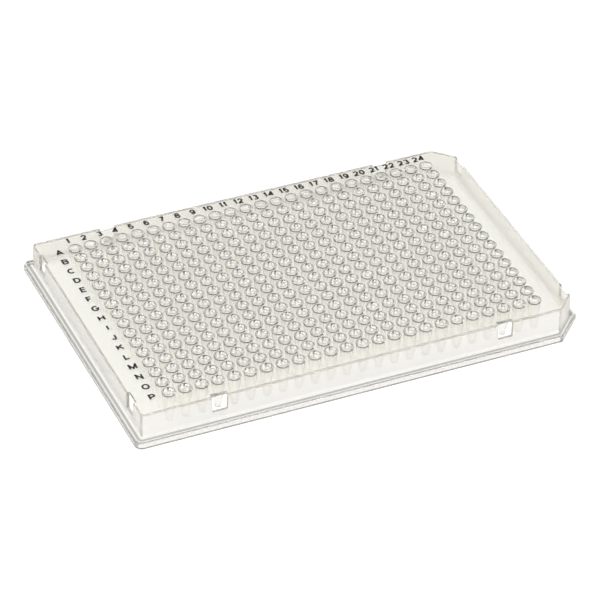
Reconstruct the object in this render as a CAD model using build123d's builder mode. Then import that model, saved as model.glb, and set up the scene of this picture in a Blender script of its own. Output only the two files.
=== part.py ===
"""Full-skirted 384-well plate for thermal cycling, moulded in one piece of clear polypropylene.

Millimetres. The origin is the middle of the base, +X runs from column 1 to column 24, +Y from
row P to row A, and +Z is up. The plate stands on the lower edge of its skirt. The two corners
at the column 24 end are cut off, which shows which way round the plate is.
"""

from build123d import *
from math import cos, radians, tan
import os

# Well grid and footprint, to the microplate standards: the pitch of the wells, and how far the
# middle of the first column and of the first row lie from the outside of the flange
columns = 24
rows = 16
pitch = 4.5
first_column_inset = 12.13
first_row_inset = 8.99

# Flange round the foot of the skirt
flange_height = 1.9
flange_wall = 0.9
flange_shoulder_radius = 0.85
flange_corner_radius = 2.0
flange_corner_cut = 7.8
ledge_thickness = 0.9
long_side_ledge = 2.35
short_side_ledge = 2.0

# Skirt wall, which leans in a little towards the deck
skirt_wall = 0.8
skirt_draft = 1.0
skirt_corner_radius = 1.2
skirt_corner_cut = 5.3

# Deck, the flat top that carries the wells
deck_height = 8.8
deck_thickness = 1.0
deck_edge_radius = 0.7

# Windows through the skirt, two on each side, each with a notch in the edge of the deck
window_depth = 4.8
window_top_width = 4.5
window_sill_width = 4.2
window_corner_radius = 0.3
long_side_window_inset = 23.6
long_side_notch = 1.4
short_side_window_inset = 10.55
short_side_notch = 0.95

# Well: a raised lip that slopes away outside its rim, a straight mouth, a cone, and a flat tip
# that clears the bench
mouth_radius = 1.43
mouth_depth = 3.0
cone_half_angle = 8.75
well_wall = 0.3
well_floor = 0.35
tip_clearance = 0.35
lip_height = 0.48
lip_width = 0.45
lip_shoulder_width = 0.28
lip_shoulder_drop = 0.12
lip_rim_bevel = 0.07

# Sizes that follow from those above
footprint_length = (columns - 1) * pitch + 2 * first_column_inset
footprint_width = (rows - 1) * pitch + 2 * first_row_inset
foot_length = footprint_length - 2 * short_side_ledge
foot_width = footprint_width - 2 * long_side_ledge
skirt_lean = deck_height * tan(radians(skirt_draft))
deck_length = foot_length - 2 * skirt_lean
deck_width = foot_width - 2 * skirt_lean
deck_underside = deck_height - deck_thickness
lip_top = deck_height + lip_height
mouth_bottom = lip_top - mouth_depth
floor_top = tip_clearance + well_floor
cone_slope = tan(radians(cone_half_angle))
cone_wall = well_wall / cos(radians(cone_half_angle))


def cone_radius(height):
    """Inner radius of a well's cone at a height above the base."""
    return mouth_radius - (mouth_bottom - height) * cone_slope


def plate_outline(length, width, corner_radius, corner_cut):
    """A rectangle with rounded corners at the column 1 end and cut corners at the other."""
    with BuildSketch(mode=Mode.PRIVATE) as outline:
        Rectangle(length, width)
        fillet(outline.vertices().group_by(Axis.X)[0], radius=corner_radius)
        chamfer(outline.vertices().group_by(Axis.X)[-1], length=corner_cut)
    return outline.sketch


# One well as it is moulded, from its lip to its tip, about its own axis
with BuildPart() as well:
    with BuildSketch(Plane.XZ) as well_section:
        with BuildLine():
            Polyline(
                (mouth_radius, lip_top - lip_rim_bevel),
                (mouth_radius, mouth_bottom),
                (cone_radius(floor_top), floor_top),
                (0, floor_top),
                (0, tip_clearance),
                (cone_radius(tip_clearance) + cone_wall, tip_clearance),
                (mouth_radius + well_wall, mouth_bottom + (cone_wall - well_wall) / cone_slope),
                (mouth_radius + well_wall, deck_height - deck_thickness / 2),
                (mouth_radius + lip_width, deck_height - deck_thickness / 2),
                (mouth_radius + lip_width, deck_height),
                (mouth_radius + lip_shoulder_width, lip_top - lip_shoulder_drop),
                (mouth_radius + lip_rim_bevel, lip_top),
                close=True,
            )
        make_face()
    revolve(axis=Axis.Z)

# One window as it is seen from outside the skirt, its height measured from the base
with BuildSketch() as window:
    with BuildLine():
        half = Polyline(
            (0, deck_height - window_depth),
            (window_sill_width / 2, deck_height - window_depth),
            (window_top_width / 2, deck_height),
            (window_top_width / 2, lip_top),
            (0, lip_top),
        )
        mirror(half, about=Plane.YZ)
    make_face()
    fillet(window.vertices().group_by(Axis.Y)[0], radius=window_corner_radius)

# The blocks that cut the eight windows, from the back of each notch out past the skirt's foot
with BuildPart() as window_cutter:
    with BuildSketch(Plane.XZ.offset(deck_width / 2 - long_side_notch)):
        with GridLocations(footprint_length - 2 * long_side_window_inset, 0, 2, 1):
            add(window.sketch)
    extrude(amount=long_side_notch + long_side_ledge)
    with BuildSketch(Plane.YZ.offset(deck_length / 2 - short_side_notch)):
        with GridLocations(footprint_width - 2 * short_side_window_inset, 0, 2, 1):
            add(window.sketch)
    extrude(amount=short_side_notch + short_side_ledge)
    mirror(about=Plane.XZ)
    mirror(about=Plane.YZ)

with BuildPart() as well_plate:
    # Flange, with a rounded shoulder
    with BuildSketch():
        add(plate_outline(footprint_length, footprint_width, flange_corner_radius, flange_corner_cut))
    extrude(amount=flange_height)
    fillet(well_plate.faces().sort_by(Axis.Z)[-1].edges(), radius=flange_shoulder_radius)

    # Skirt and deck as one block, and the rounded edge of the deck
    with BuildSketch():
        add(plate_outline(foot_length, foot_width, skirt_corner_radius, skirt_corner_cut))
    extrude(amount=deck_height, taper=skirt_draft)
    fillet(well_plate.faces().sort_by(Axis.Z)[-1].edges(), radius=deck_edge_radius)

    # The hollow underneath, which is wider inside the flange
    with BuildSketch():
        add(plate_outline(foot_length, foot_width, skirt_corner_radius, skirt_corner_cut))
        offset(amount=-skirt_wall, kind=Kind.INTERSECTION, mode=Mode.REPLACE)
    extrude(amount=deck_underside, taper=skirt_draft, mode=Mode.SUBTRACT)
    with BuildSketch():
        add(plate_outline(footprint_length, footprint_width, flange_corner_radius, flange_corner_cut))
        offset(amount=-flange_wall, kind=Kind.INTERSECTION, mode=Mode.REPLACE)
    extrude(amount=flange_height - ledge_thickness, mode=Mode.SUBTRACT)

    add(window_cutter.part, mode=Mode.SUBTRACT)
    # Holes in the deck, each inside the wall of its well, and then the wells themselves
    with BuildSketch(Plane.XY.offset(deck_underside)):
        with GridLocations(pitch, pitch, columns, rows):
            Circle(mouth_radius + well_wall / 2)
    extrude(amount=deck_thickness, mode=Mode.SUBTRACT)
    with GridLocations(pitch, pitch, columns, rows):
        add(well.part)

well_plate.part.label = "well_plate"
os.makedirs("parts", exist_ok=True)
export_step(well_plate.part, "parts/well_plate.step")
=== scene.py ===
"""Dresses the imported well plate: hazy clear polypropylene, printed row letters and column numbers,
and a plain white studio. Metres, in the plate's own frame."""

import math

import bpy
from mathutils import Matrix, Vector

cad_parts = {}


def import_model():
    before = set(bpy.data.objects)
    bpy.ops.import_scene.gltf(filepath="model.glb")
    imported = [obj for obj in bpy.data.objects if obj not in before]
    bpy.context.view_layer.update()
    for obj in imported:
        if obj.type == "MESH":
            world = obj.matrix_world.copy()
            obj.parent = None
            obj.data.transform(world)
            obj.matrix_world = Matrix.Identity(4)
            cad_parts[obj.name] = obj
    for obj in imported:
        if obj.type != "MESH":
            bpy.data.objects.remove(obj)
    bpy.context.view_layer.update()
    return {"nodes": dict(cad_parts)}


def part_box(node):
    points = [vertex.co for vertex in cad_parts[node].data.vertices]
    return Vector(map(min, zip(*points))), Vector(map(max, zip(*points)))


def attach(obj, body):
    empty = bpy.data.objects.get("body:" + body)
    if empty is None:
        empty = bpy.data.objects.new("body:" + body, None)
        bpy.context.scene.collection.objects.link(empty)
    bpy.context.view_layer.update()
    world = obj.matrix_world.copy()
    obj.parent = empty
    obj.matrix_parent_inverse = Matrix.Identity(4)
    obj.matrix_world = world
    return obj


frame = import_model()
MM = 0.001
WHITE = (1.0, 1.0, 1.0, 1.0)

# The plate and its grid of wells
plate = frame["nodes"]["well_plate"]
plate_low, plate_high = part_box("well_plate")
PITCH = 4.5 * MM
COLUMNS = 24
ROWS = 16
LIP_HEIGHT = 0.48 * MM
deck_top = plate_high[2] - LIP_HEIGHT

# Radii round the middle of each well: the outside of its lip, the inner edge of the lip's crest,
# which is made hazier and whiter as a painted highlight, the change from that crest to the lip's
# foot, which is tinted darker as painted shade, and where the foot ends on the deck. The blurs
# soften crest and foot, and the slack makes sure that the deck's own top counts as on it
LIP_RADIUS = 1.9 * MM
RIM_RADIUS = 1.5 * MM
FOOT_RADIUS = 1.77 * MM
DECK_RADIUS = 1.96 * MM
CREST_BLUR = 0.03 * MM
FOOT_BLUR = 0.04 * MM
DECK_SLACK = 0.02 * MM

# How far in the deck's edge lies from the flange's, and how deep the notches over the windows are
SIDE_LEDGE = 2.15 * MM
FRONT_LEDGE = 2.5 * MM
SIDE_NOTCH = 0.95 * MM
FRONT_NOTCH = 1.4 * MM

# Outlines: half length, half width, radius of the rounded corners and length of the cut ones
FLANGE_OUTLINE = (plate_high[0], plate_high[1], 2.0 * MM, 7.8 * MM)
DECK_OUTLINE = (plate_high[0] - SIDE_LEDGE, plate_high[1] - FRONT_LEDGE, 1.2 * MM, 5.3 * MM)

# Lines of painted shade that the plastic is tinted with, standing in for the dark lines that its
# edges show as light bends through them, as heights above the base and distances in from an
# outline: the deck's edge, the flange's shoulder (where its line starts, is full, fades and ends)
# and the flange's foot. The height for the flange's top is a little over the top itself
DECK_EDGE = 0.5 * MM
DECK_LINE_FULL = 0.1 * MM
FLANGE_TOP = 2.0 * MM
SHOULDER_BOTTOM = 1.5 * MM
SHOULDER_BAND = (0.6 * MM, 0.85 * MM, 1.4 * MM, 1.6 * MM)
FOOT_LINE_TOP = 0.5 * MM
FOOT_LINE_FULL = 0.3 * MM
FOOT_LINE_DEPTH = 0.2 * MM

# Cut faces of the windows, which are tinted dark as painted shade: the sill's height, how far down
# the back of a notch shows, where the sides of a window start from there, how much of each end of
# the plate holds no window, and the slack and the least share of the normal that tell the faces
# apart
WINDOW_SILL = 4.0 * MM
SILL_SLACK = 0.1 * MM
NOTCH_HEIGHT = 1.2 * MM
NOTCH_SIDE_START = 0.2 * MM
NOTCH_BACK_SLACK = 0.15 * MM
FRONT_END = 10.0 * MM
SIDE_END = 7.0 * MM
FACING_SIDEWAYS = 0.8
FACING_UP = 0.7

# Plastic: how rough and how hazy it is in the wells and elsewhere, its colours, among them the
# painted shade of its edges, lip feet and window faces and the painted highlight of its extra haze
# on the lip crests, how much of its haze lets light through, and what a lamp's light keeps on its
# way through
PLASTIC_IOR = 1.49
WELL_ROUGHNESS = 0.03
DECK_ROUGHNESS = 0.15
SKIRT_ROUGHNESS = 0.2
FLANGE_ROUGHNESS = 0.1
WELL_HAZE = 0.01
DECK_HAZE = 0.17
FIELD_HAZE = 0.14
SKIRT_HAZE = 0.22
FLANGE_HAZE = 0.1
# Painted highlight: much more white haze on each lip's crest
CREST_HIGHLIGHT_HAZE = 0.55
CLEAR_TINT = (0.96, 0.962, 0.905, 1.0)
# Painted shade: dark lines along the deck's edge, the flange's shoulder and the flange's foot
DECK_EDGE_SHADE = (0.8, 0.74, 0.64, 1.0)
SHOULDER_SHADE = (0.25, 0.26, 0.225, 1.0)
FLANGE_FOOT_SHADE = (0.09, 0.08, 0.065, 1.0)
CONE_TINT = (0.975, 0.966, 0.942, 1.0)
# Painted shade: a darker tint on each lip's foot, where the lip meets the deck
LIP_FOOT_SHADE = (0.8, 0.81, 0.76, 1.0)
# Painted shade: the dark tint of the windows' cut faces
WINDOW_FACE_SHADE = (0.27, 0.26, 0.21, 1.0)
HAZE_TINT = (0.955, 0.93, 0.89, 1.0)
GLOW_SHARE = 0.5
LAMP_PASS = (0.95, 0.95, 0.95, 1.0)

# Flow streaks: their scale, which is coarser along the rows, and how much they change a value
STREAK_SCALE = (60.0, 220.0, 220.0)
STREAK_DETAIL = 3.0
STREAK_SPREAD = 0.15

# Print on the deck, and its ink. Stroke and gap are in cap heights, an arc's step is in degrees, a
# turn is sharp where the dot product of its two ways is lower than SHARP_TURN, and the two shifts
# are from the middle of a row or a column
CAP_HEIGHT = 2.35 * MM
STROKE_WIDTH = 0.23
LETTER_GAP = 0.07
SHARP_TURN = 0.6
ARC_STEP = 15
INK_THICKNESS = 0.008 * MM
LETTER_X = plate_low[0] + 7.5 * MM
LETTER_SHIFT_Y = -0.35 * MM
NUMBER_Y = plate_high[1] - 5.24 * MM
NUMBER_SHIFT_X = -0.65 * MM
INK_GRAIN = 3000.0
INK_DARK = (0.008, 0.008, 0.008, 1.0)
INK_LIGHT = (0.03, 0.03, 0.029, 1.0)
INK_ROUGHNESS = 0.55

# Camera, in degrees and metres, with its lens and sensor in millimetres: where it looks, from
# which side, and how far away
CAMERA_TARGET = Vector((-5.344 * MM, -10.466 * MM, deck_top))
CAMERA_AZIMUTH = -24.002
CAMERA_ELEVATION = 36.477
CAMERA_ROLL = 1.011
CAMERA_DISTANCE = 0.947215
CAMERA_LENS = 216.361
SENSOR_WIDTH = 36.0
CAMERA_NEAR = 0.01
CAMERA_FAR = 20.0

# Floor: its half width, its gap under the plate and its colour. A share of its look is its own
# lit surface, and the rest is lifted a little to stay white
FLOOR_REACH = 3.0
FLOOR_GAP = 0.02 * MM
FLOOR_COLOR = (0.9, 0.9, 0.9, 1.0)
SHADOW_SHARE = 0.2
SHADOW_LIFT = 0.15

# Light of the surroundings, and each lamp's place, width and power, in metres and watts
SURROUND = 0.4
LAMPS = {
    "top_light": ((0.0, 0.35, 0.85), 0.8, 3.4),
    "front_light": ((0.25, -0.9, 0.3), 0.6, 3.2),
    "side_light": ((-0.9, 0.0, 0.3), 0.6, 2.0),
}


def column_x(column):
    """Middle of a column of wells, counted from 1."""
    return (column - (COLUMNS + 1) / 2) * PITCH


def row_y(row):
    """Middle of a row of wells, counted from 1 for row A."""
    return ((ROWS + 1) / 2 - row) * PITCH


def node_material(name):
    """A new material and its node tree, with the default nodes removed."""
    material = bpy.data.materials.new(name)
    material.use_nodes = True
    material.node_tree.nodes.clear()
    return material, material.node_tree


def feed(tree, socket, value):
    """Sets a socket to a number or colour, or links another node's output to it."""
    if isinstance(value, bpy.types.NodeSocket):
        tree.links.new(value, socket)
    else:
        socket.default_value = value


def math_node(tree, operation, *values):
    """A Math node on up to three inputs, each a number or another node's output."""
    node = tree.nodes.new("ShaderNodeMath")
    node.operation = operation
    for socket, value in zip(node.inputs, values):
        feed(tree, socket, value)
    return node.outputs["Value"]


def all_of(tree, mask, *others):
    """A mask where several masks overlap."""
    for other in others:
        mask = math_node(tree, "MULTIPLY", mask, other)
    return mask


def any_of(tree, mask, *others):
    """A mask wherever one of several masks is."""
    for other in others:
        mask = math_node(tree, "MAXIMUM", mask, other)
    return mask


def smooth_node(tree, value, start, end):
    """0 at the start and 1 at the end, with a smooth change between them. Either may be higher."""
    node = tree.nodes.new("ShaderNodeMapRange")
    node.interpolation_type = "SMOOTHSTEP"
    node.inputs["From Min"].default_value = min(start, end)
    node.inputs["From Max"].default_value = max(start, end)
    node.inputs["To Min"].default_value = 0.0 if start < end else 1.0
    node.inputs["To Max"].default_value = 1.0 if start < end else 0.0
    tree.links.new(value, node.inputs["Value"])
    return node.outputs["Result"]


def band_node(tree, value, start, full, fading, end):
    """A mask over a band of values, with a smooth rise and fall at its sides."""
    rise = smooth_node(tree, value, start, full)
    fall = smooth_node(tree, value, end, fading)
    return all_of(tree, rise, fall)


def split(tree, vector):
    """The X, Y and Z of a vector."""
    axes = tree.nodes.new("ShaderNodeSeparateXYZ")
    tree.links.new(vector, axes.inputs["Vector"])
    return axes.outputs


def layered(tree, result, *layers):
    """A number or colour with others laid over it in turn, each through its mask."""
    for over, mask in layers:
        mix = tree.nodes.new("ShaderNodeMix")
        mix.data_type = "RGBA" if isinstance(over, tuple) else "FLOAT"
        feed(tree, mix.inputs["A"], result)
        feed(tree, mix.inputs["B"], over)
        tree.links.new(mask, mix.inputs["Factor"])
        result = mix.outputs["Result"]
    return result


def mixed(tree, share, under, over):
    """Two shaders mixed, by the share of the second."""
    mix = tree.nodes.new("ShaderNodeMixShader")
    feed(tree, mix.inputs["Fac"], share)
    tree.links.new(under, mix.inputs[1])
    tree.links.new(over, mix.inputs[2])
    return mix.outputs["Shader"]


def plain(tree, kind, color, strength=None):
    """A shader of one kind and colour, with a strength if it shines."""
    node = tree.nodes.new(kind)
    node.inputs["Color"].default_value = color
    if strength is not None:
        feed(tree, node.inputs["Strength"], strength)
    return node.outputs[0]


def well_masks(tree, place):
    """Four masks: the field of wells and, at each well in it, all that lies within its lip at any
    height, the rounded top of the lip, which gets a painted highlight, and the foot of the lip,
    which gets painted shade."""
    offsets = []
    within = []
    for axis, count in (("X", COLUMNS), ("Y", ROWS)):
        folded = math_node(tree, "PINGPONG", place[axis], PITCH / 2)
        offsets.append(math_node(tree, "SUBTRACT", PITCH / 2, folded))
        reach = math_node(tree, "ABSOLUTE", place[axis])
        within.append(math_node(tree, "LESS_THAN", reach, count * PITCH / 2))
    squares = [math_node(tree, "MULTIPLY", offset, offset) for offset in offsets]
    distance = math_node(tree, "SQRT", math_node(tree, "ADD", *squares))
    field = all_of(tree, *within)
    on_deck = math_node(tree, "GREATER_THAN", place["Z"], deck_top - DECK_SLACK)

    def ring(inner, outer, blur):
        """Between two radii round each well, on the deck and above it."""
        band = band_node(tree, distance, inner - blur, inner + blur, outer - blur, outer + blur)
        return all_of(tree, field, on_deck, band)

    wells = all_of(tree, field, math_node(tree, "LESS_THAN", distance, LIP_RADIUS))
    crest = ring(RIM_RADIUS, FOOT_RADIUS, CREST_BLUR)
    foot = ring(FOOT_RADIUS, DECK_RADIUS, FOOT_BLUR)
    return field, wells, crest, foot


def edge_distance(tree, place, half_length, half_width, radius, cut):
    """Distance in from an outline with rounded corners at column 1 and cut corners at column 24,
    which levels off at the radius of the rounded corners."""
    squares = []
    for axis, half in (("X", half_length), ("Y", half_width)):
        reach = math_node(tree, "ABSOLUTE", place[axis])
        past = math_node(tree, "MAXIMUM", math_node(tree, "SUBTRACT", reach, half - radius), 0.0)
        squares.append(math_node(tree, "MULTIPLY", past, past))
    outward = math_node(tree, "SQRT", math_node(tree, "ADD", *squares))
    rounded = math_node(tree, "SUBTRACT", radius, outward)
    slant = math_node(tree, "ADD", place["X"], math_node(tree, "ABSOLUTE", place["Y"]))
    corner = math_node(tree, "SUBTRACT", half_length + half_width - cut, slant)
    return math_node(tree, "MINIMUM", rounded, math_node(tree, "MULTIPLY", corner, math.sqrt(0.5)))


def edge_masks(tree, place):
    """Three masks of painted shade lines: along the rounded edge of the deck, where the rounded
    shoulder of the flange starts, and along the foot of the flange."""
    height = place["Z"]
    from_flange = edge_distance(tree, place, *FLANGE_OUTLINE)
    from_deck = edge_distance(tree, place, *DECK_OUTLINE)
    by_deck = math_node(tree, "GREATER_THAN", height, deck_top - DECK_EDGE)
    deck_edge_shade = all_of(tree, by_deck, smooth_node(tree, from_deck, DECK_EDGE, DECK_LINE_FULL))
    shelf = all_of(
        tree,
        math_node(tree, "LESS_THAN", height, FLANGE_TOP),
        math_node(tree, "GREATER_THAN", height, SHOULDER_BOTTOM),
    )
    shoulder_shade = all_of(tree, shelf, band_node(tree, from_flange, *SHOULDER_BAND))
    flange_foot_shade = all_of(
        tree,
        smooth_node(tree, height, FOOT_LINE_TOP, FOOT_LINE_FULL),
        math_node(tree, "LESS_THAN", from_flange, FOOT_LINE_DEPTH),
    )
    return deck_edge_shade, shoulder_shade, flange_foot_shade


def window_mask(tree, place):
    """The cut faces of the windows in the skirt, which are tinted dark as painted shade: their sides
    and sills, and the backs of the notches over them."""
    height = place["Z"]
    facing = split(tree, tree.nodes.new("ShaderNodeNewGeometry").outputs["True Normal"])
    near_top = math_node(tree, "GREATER_THAN", height, deck_top - NOTCH_HEIGHT)
    notch_y = plate_high[1] - FRONT_LEDGE - FRONT_NOTCH
    notch_x = plate_high[0] - SIDE_LEDGE - SIDE_NOTCH
    cuts = []
    for along, out, notch_back, end in (
        ("X", "Y", notch_y, plate_high[0] - FRONT_END),
        ("Y", "X", notch_x, plate_high[1] - SIDE_END),
    ):
        reach_along = math_node(tree, "ABSOLUTE", place[along])
        reach_out = math_node(tree, "ABSOLUTE", place[out])
        facing_along = math_node(tree, "ABSOLUTE", facing[along])
        facing_out = math_node(tree, "ABSOLUTE", facing[out])
        side = all_of(
            tree,
            math_node(tree, "GREATER_THAN", facing_along, FACING_SIDEWAYS),
            math_node(tree, "GREATER_THAN", reach_out, notch_back + NOTCH_SIDE_START),
            math_node(tree, "LESS_THAN", reach_along, end),
        )
        back = all_of(
            tree,
            math_node(tree, "GREATER_THAN", facing_out, FACING_SIDEWAYS),
            math_node(tree, "COMPARE", reach_out, notch_back, NOTCH_BACK_SLACK),
            near_top,
        )
        cuts += [side, back]
    standing = math_node(tree, "GREATER_THAN", height, WINDOW_SILL - SILL_SLACK)
    sill = all_of(
        tree,
        math_node(tree, "COMPARE", height, WINDOW_SILL, SILL_SLACK),
        math_node(tree, "GREATER_THAN", facing["Z"], FACING_UP),
    )
    return any_of(tree, all_of(tree, any_of(tree, *cuts), standing), sill)


def flow_streaks(tree, coordinates):
    """Faint streaks along the rows, where the plastic flowed in its mould, from 0 to 1."""
    stretch = tree.nodes.new("ShaderNodeMapping")
    stretch.inputs["Scale"].default_value = STREAK_SCALE
    tree.links.new(coordinates, stretch.inputs["Vector"])
    noise = tree.nodes.new("ShaderNodeTexNoise")
    noise.inputs["Detail"].default_value = STREAK_DETAIL
    tree.links.new(stretch.outputs["Vector"], noise.inputs["Vector"])
    return noise.outputs["Fac"]


def streaked(tree, streaks, value):
    """A value that varies a little with the streaks."""
    node = tree.nodes.new("ShaderNodeMapRange")
    node.inputs["To Min"].default_value = (1 - STREAK_SPREAD) * value
    node.inputs["To Max"].default_value = (1 + STREAK_SPREAD) * value
    tree.links.new(streaks, node.inputs["Value"])
    return node.outputs["Result"]


def clear_polypropylene():
    """Polished in the wells, hazier on the deck and skirt, with faint streaks where it flowed."""
    material, tree = node_material("clear_polypropylene")
    nodes, links = tree.nodes, tree.links
    coordinates = nodes.new("ShaderNodeTexCoord").outputs["Object"]
    place = split(tree, coordinates)
    streaks = flow_streaks(tree, coordinates)
    field, wells, crest, foot = well_masks(tree, place)
    skirt = math_node(tree, "LESS_THAN", place["Z"], deck_top - 2 * DECK_EDGE)
    flange = math_node(tree, "LESS_THAN", place["Z"], FLANGE_TOP)

    # Painted shade: darker on the foot of each lip, the edges of the deck and flange, and the
    # windows' cut faces
    tint_and_painted_shade = layered(
        tree,
        CLEAR_TINT,
        (CONE_TINT, skirt),
        (LIP_FOOT_SHADE, foot),
        *zip((DECK_EDGE_SHADE, SHOULDER_SHADE, FLANGE_FOOT_SHADE), edge_masks(tree, place)),
        (WINDOW_FACE_SHADE, window_mask(tree, place)),
    )
    roughness = layered(
        tree,
        streaked(tree, streaks, DECK_ROUGHNESS),
        (SKIRT_ROUGHNESS, skirt),
        (FLANGE_ROUGHNESS, flange),
        (WELL_ROUGHNESS, wells),
    )
    # Haze, with more on each lip's crest as a painted highlight
    haze_and_crest_highlight = layered(
        tree,
        streaked(tree, streaks, DECK_HAZE),
        (FIELD_HAZE, field),
        (SKIRT_HAZE, skirt),
        (FLANGE_HAZE, flange),
        (WELL_HAZE, wells),
        (CREST_HIGHLIGHT_HAZE, crest),
    )

    clear = nodes.new("ShaderNodeBsdfPrincipled")
    clear.inputs["IOR"].default_value = PLASTIC_IOR
    clear.inputs["Transmission Weight"].default_value = 1.0
    links.new(tint_and_painted_shade, clear.inputs["Base Color"])
    links.new(roughness, clear.inputs["Roughness"])
    milk = plain(tree, "ShaderNodeBsdfDiffuse", HAZE_TINT)
    glow = plain(tree, "ShaderNodeBsdfTranslucent", HAZE_TINT)
    hazy = mixed(tree, haze_and_crest_highlight, clear.outputs["BSDF"], mixed(tree, GLOW_SHARE, milk, glow))

    # Lamps shine through, as they do through thin clear plastic
    shadow_ray = nodes.new("ShaderNodeLightPath").outputs["Is Shadow Ray"]
    open_way = plain(tree, "ShaderNodeBsdfTransparent", LAMP_PASS)
    lit = mixed(tree, shadow_ray, hazy, open_way)
    links.new(lit, nodes.new("ShaderNodeOutputMaterial").inputs["Surface"])
    return material


def black_ink():
    """Matt black pad-printing ink, a little uneven in its cover."""
    material, tree = node_material("black_ink")
    cover = tree.nodes.new("ShaderNodeTexNoise")
    cover.inputs["Scale"].default_value = INK_GRAIN
    tone = tree.nodes.new("ShaderNodeValToRGB")
    for element, color in zip(tone.color_ramp.elements, (INK_DARK, INK_LIGHT)):
        element.color = color
    tree.links.new(cover.outputs["Fac"], tone.inputs["Fac"])
    ink = tree.nodes.new("ShaderNodeBsdfPrincipled")
    ink.inputs["Roughness"].default_value = INK_ROUGHNESS
    tree.links.new(tone.outputs["Color"], ink.inputs["Base Color"])
    output = tree.nodes.new("ShaderNodeOutputMaterial")
    tree.links.new(ink.outputs["BSDF"], output.inputs["Surface"])
    return material


def arc(x, y, across, high, start, end):
    """Points along part of an ellipse, with its angles in degrees."""
    steps = max(2, round(abs(end - start) / ARC_STEP))
    angles = [math.radians(start + (end - start) * step / steps) for step in range(steps + 1)]
    return [(x + across * math.cos(angle), y + high * math.sin(angle)) for angle in angles]


def turned(strokes):
    """The same strokes upside down."""
    return [[(1 - x, 1 - y) for x, y in stroke] for stroke in strokes]


SIX = [arc(0.5, 0.31, 0.48, 0.31, 0, 360), arc(0.52, 0.55, 0.5, 0.45, 40, 180) + [(0.02, 0.31)]]

# Each mark as its width, in cap heights, and the middle lines of its strokes in a unit square
GLYPHS = {
    "A": (0.9, [[(0, 0), (0.5, 1), (1, 0)], [(0.2, 0.3), (0.8, 0.3)]]),
    "B": (
        0.8,
        [
            [(0, 0), (0, 1)] + arc(0.6, 0.77, 0.33, 0.23, 90, -90) + [(0, 0.54)],
            arc(0.62, 0.27, 0.38, 0.27, 90, -90) + [(0, 0)],
        ],
    ),
    "C": (0.88, [arc(0.5, 0.5, 0.5, 0.5, 48, 312)]),
    "D": (0.84, [[(0, 0), (0, 1)] + arc(0.45, 0.5, 0.55, 0.5, 90, -90) + [(0, 0)]]),
    "E": (0.74, [[(1, 1), (0, 1), (0, 0), (1, 0)], [(0, 0.52), (0.9, 0.52)]]),
    "F": (0.7, [[(1, 1), (0, 1), (0, 0)], [(0, 0.5), (0.85, 0.5)]]),
    "G": (0.9, [arc(0.5, 0.5, 0.5, 0.5, 50, 345) + [(0.98, 0.48), (0.55, 0.48)]]),
    "H": (0.82, [[(0, 0), (0, 1)], [(1, 0), (1, 1)], [(0, 0.52), (1, 0.52)]]),
    "I": (0.2, [[(0.5, 0), (0.5, 1)]]),
    "J": (0.6, [[(1, 1)] + arc(0.5, 0.3, 0.5, 0.3, 0, -180)]),
    "K": (0.84, [[(0, 0), (0, 1)], [(1, 1), (0, 0.36)], [(0.36, 0.58), (1, 0)]]),
    "L": (0.68, [[(0, 1), (0, 0), (1, 0)]]),
    "M": (0.98, [[(0, 0), (0, 1), (0.5, 0.12), (1, 1), (1, 0)]]),
    "N": (0.82, [[(0, 0), (0, 1), (1, 0), (1, 1)]]),
    "O": (0.92, [arc(0.5, 0.5, 0.5, 0.5, 0, 360)]),
    "P": (0.78, [[(0, 0), (0, 1)] + arc(0.6, 0.73, 0.4, 0.27, 90, -90) + [(0, 0.46)]]),
    "0": (0.68, [arc(0.5, 0.5, 0.5, 0.5, 0, 360)]),
    "1": (0.42, [[(0, 0.74), (0.72, 1), (0.72, 0)]]),
    "2": (0.68, [arc(0.5, 0.71, 0.47, 0.29, 165, -40) + [(0, 0), (1, 0)]]),
    "3": (0.68, [arc(0.48, 0.76, 0.42, 0.24, 150, -90), arc(0.48, 0.26, 0.5, 0.26, 90, -150)]),
    "4": (0.74, [[(0.76, 0), (0.76, 1), (0, 0.28), (1, 0.28)]]),
    "5": (0.68, [[(0.92, 1), (0.2, 1), (0.08, 0.5)] + arc(0.48, 0.31, 0.5, 0.31, 125, -150)]),
    "6": (0.68, SIX),
    "7": (0.66, [[(0, 1), (1, 1), (0.36, 0)]]),
    "8": (0.7, [arc(0.5, 0.77, 0.4, 0.23, 0, 360), arc(0.5, 0.27, 0.5, 0.27, 0, 360)]),
    "9": (0.68, turned(SIX)),
}


def band_end(point, way, neighbour, outward, half_width):
    """The two corners of a straight band at one of its ends: mitred against a neighbour that goes
    on nearly the same way, and lengthened to a square corner against one that doesn't."""
    normal = Vector((-way.y, way.x))
    if neighbour is not None and way.dot(neighbour) < SHARP_TURN:
        point = point + way * outward * half_width
    elif neighbour is not None:
        mitre = (way + neighbour).normalized()
        slanted = Vector((-mitre.y, mitre.x))
        normal = slanted / slanted.dot(normal)
    return point - normal * half_width, point + normal * half_width


def ribbon(points, half_width):
    """A flat band along a line of points, as a list of quads."""
    points = [Vector(point) for point in points]
    ways = [(after - before).normalized() for before, after in zip(points, points[1:])]
    ways = [None] + ways + [None]
    quads = []
    for index, (start, end) in enumerate(zip(points, points[1:]), 1):
        near = band_end(start, ways[index], ways[index - 1], -1, half_width)
        far = band_end(end, ways[index], ways[index + 1], 1, half_width)
        quads.append((near[0], far[0], far[1], near[1]))
    return quads


def glyph_quads(text):
    """The quads of a mark in cap heights, centred on its own middle."""
    half = STROKE_WIDTH / 2
    total = sum(GLYPHS[letter][0] for letter in text) + LETTER_GAP * (len(text) - 1)
    left = -total / 2
    quads = []
    for letter in text:
        width, strokes = GLYPHS[letter]
        for stroke in strokes:
            line = [
                (left + half + x * (width - 2 * half), half - 0.5 + y * (1 - 2 * half))
                for x, y in stroke
            ]
            quads += ribbon(line, half)
        left += width + LETTER_GAP
    return quads


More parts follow.
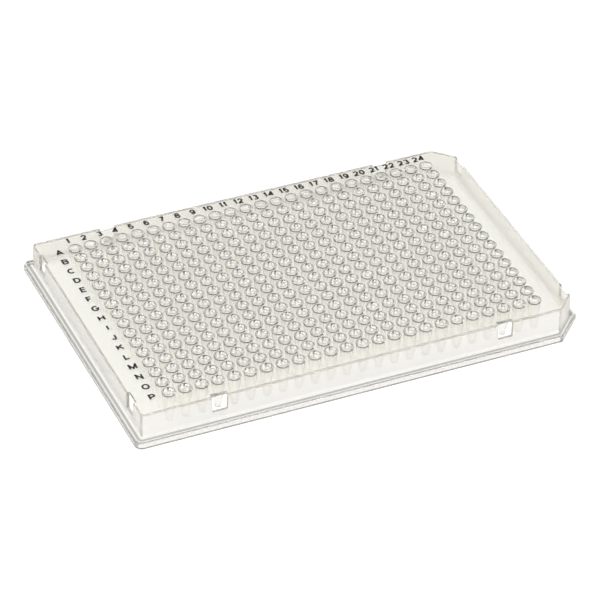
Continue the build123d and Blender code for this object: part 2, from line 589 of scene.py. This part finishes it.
def printed(name, marks, material):
    """Makes one thin print on the deck from (text, x, y) marks."""
    vertices = []
    faces = []
    for text, x, y in marks:
        for quad in glyph_quads(text):
            start = len(vertices)
            vertices += [
                (x + point.x * CAP_HEIGHT, y + point.y * CAP_HEIGHT, deck_top + INK_THICKNESS)
                for point in quad
            ]
            faces.append((start, start + 1, start + 2, start + 3))
    mesh = bpy.data.meshes.new(name)
    mesh.from_pydata(vertices, [], faces)
    mesh.materials.append(material)
    body = bpy.data.objects.new(name, mesh)
    bpy.context.scene.collection.objects.link(body)
    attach(body, "root")


def camera():
    """The camera, placed by its azimuth, elevation, roll and distance from its target."""
    azimuth = math.radians(CAMERA_AZIMUTH)
    elevation = math.radians(CAMERA_ELEVATION)
    roll = math.radians(CAMERA_ROLL)
    back = Vector(
        (
            math.sin(azimuth) * math.cos(elevation),
            -math.cos(azimuth) * math.cos(elevation),
            math.sin(elevation),
        )
    )
    level = Vector((math.cos(azimuth), math.sin(azimuth), 0.0))
    upright = back.cross(level)
    right = math.cos(roll) * level + math.sin(roll) * upright
    up = math.cos(roll) * upright - math.sin(roll) * level
    data = bpy.data.cameras.new("camera")
    data.sensor_width = SENSOR_WIDTH
    data.lens = CAMERA_LENS
    data.clip_start = CAMERA_NEAR
    data.clip_end = CAMERA_FAR
    body = bpy.data.objects.new("camera", data)
    place = Matrix.Translation(CAMERA_TARGET + back * CAMERA_DISTANCE)
    body.matrix_world = place @ Matrix((right, up, back)).transposed().to_4x4()
    bpy.context.scene.collection.objects.link(body)
    bpy.context.scene.camera = body


def floor_material():
    """Pale where light falls on it, and white straight from the camera or through the plastic.
    Part of what the camera sees is the lit floor itself, which takes the plate's shadow."""
    material, tree = node_material("floor")
    path = tree.nodes.new("ShaderNodeLightPath")
    from_camera = path.outputs["Is Camera Ray"]
    through_plastic = path.outputs["Is Transmission Ray"]
    straight = math_node(tree, "MULTIPLY", from_camera, 1.0 - SHADOW_SHARE)
    lift = math_node(tree, "MULTIPLY", from_camera, SHADOW_LIFT)
    pale = plain(tree, "ShaderNodeBsdfDiffuse", FLOOR_COLOR)
    white = plain(tree, "ShaderNodeEmission", WHITE, math_node(tree, "ADD", lift, 1.0))
    seen = mixed(tree, any_of(tree, straight, through_plastic), pale, white)
    tree.links.new(seen, tree.nodes.new("ShaderNodeOutputMaterial").inputs["Surface"])
    return material


def floor():
    """A wide pale floor just under the plate."""
    low = plate_low[2] - FLOOR_GAP
    signs = ((-1, -1), (1, -1), (1, 1), (-1, 1))
    corners = [(x * FLOOR_REACH, y * FLOOR_REACH, low) for x, y in signs]
    mesh = bpy.data.meshes.new("floor")
    mesh.from_pydata(corners, [], [(0, 1, 2, 3)])
    mesh.materials.append(floor_material())
    body = bpy.data.objects.new("floor", mesh)
    bpy.context.scene.collection.objects.link(body)


def world():
    """Soft, even surroundings, white straight from the camera or through the plastic."""
    sky = bpy.data.worlds.new("world")
    bpy.context.scene.world = sky
    sky.use_nodes = True
    tree = sky.node_tree
    tree.nodes.clear()
    soft = plain(tree, "ShaderNodeBackground", WHITE, SURROUND)
    white = plain(tree, "ShaderNodeBackground", WHITE, 1.0)
    path = tree.nodes.new("ShaderNodeLightPath")
    seen = any_of(tree, path.outputs["Is Camera Ray"], path.outputs["Is Transmission Ray"])
    output = tree.nodes.new("ShaderNodeOutputWorld")
    tree.links.new(mixed(tree, seen, soft, white), output.inputs["Surface"])


def softbox(name, place, size, power):
    """A square area light that faces the middle of the plate's base."""
    data = bpy.data.lights.new(name, "AREA")
    data.shape = "SQUARE"
    data.size = size
    data.energy = power
    body = bpy.data.objects.new(name, data)
    body.location = place
    inward = Vector((0.0, 0.0, 0.0)) - Vector(place)
    body.rotation_euler = inward.to_track_quat("-Z", "Y").to_euler()
    bpy.context.scene.collection.objects.link(body)


plate.data.materials.clear()
plate.data.materials.append(clear_polypropylene())

row_marks = [
    (chr(ord("A") + row - 1), LETTER_X, row_y(row) + LETTER_SHIFT_Y) for row in range(1, ROWS + 1)
]
column_marks = [
    (str(column), column_x(column) + NUMBER_SHIFT_X, NUMBER_Y) for column in range(1, COLUMNS + 1)
]
ink = black_ink()
printed("row_letters", row_marks, ink)
printed("column_numbers", column_marks, ink)

camera()
floor()
world()
for name, (place, size, power) in LAMPS.items():
    softbox(name, place, size, power)
bpy.context.scene.view_settings.view_transform = "Standard"
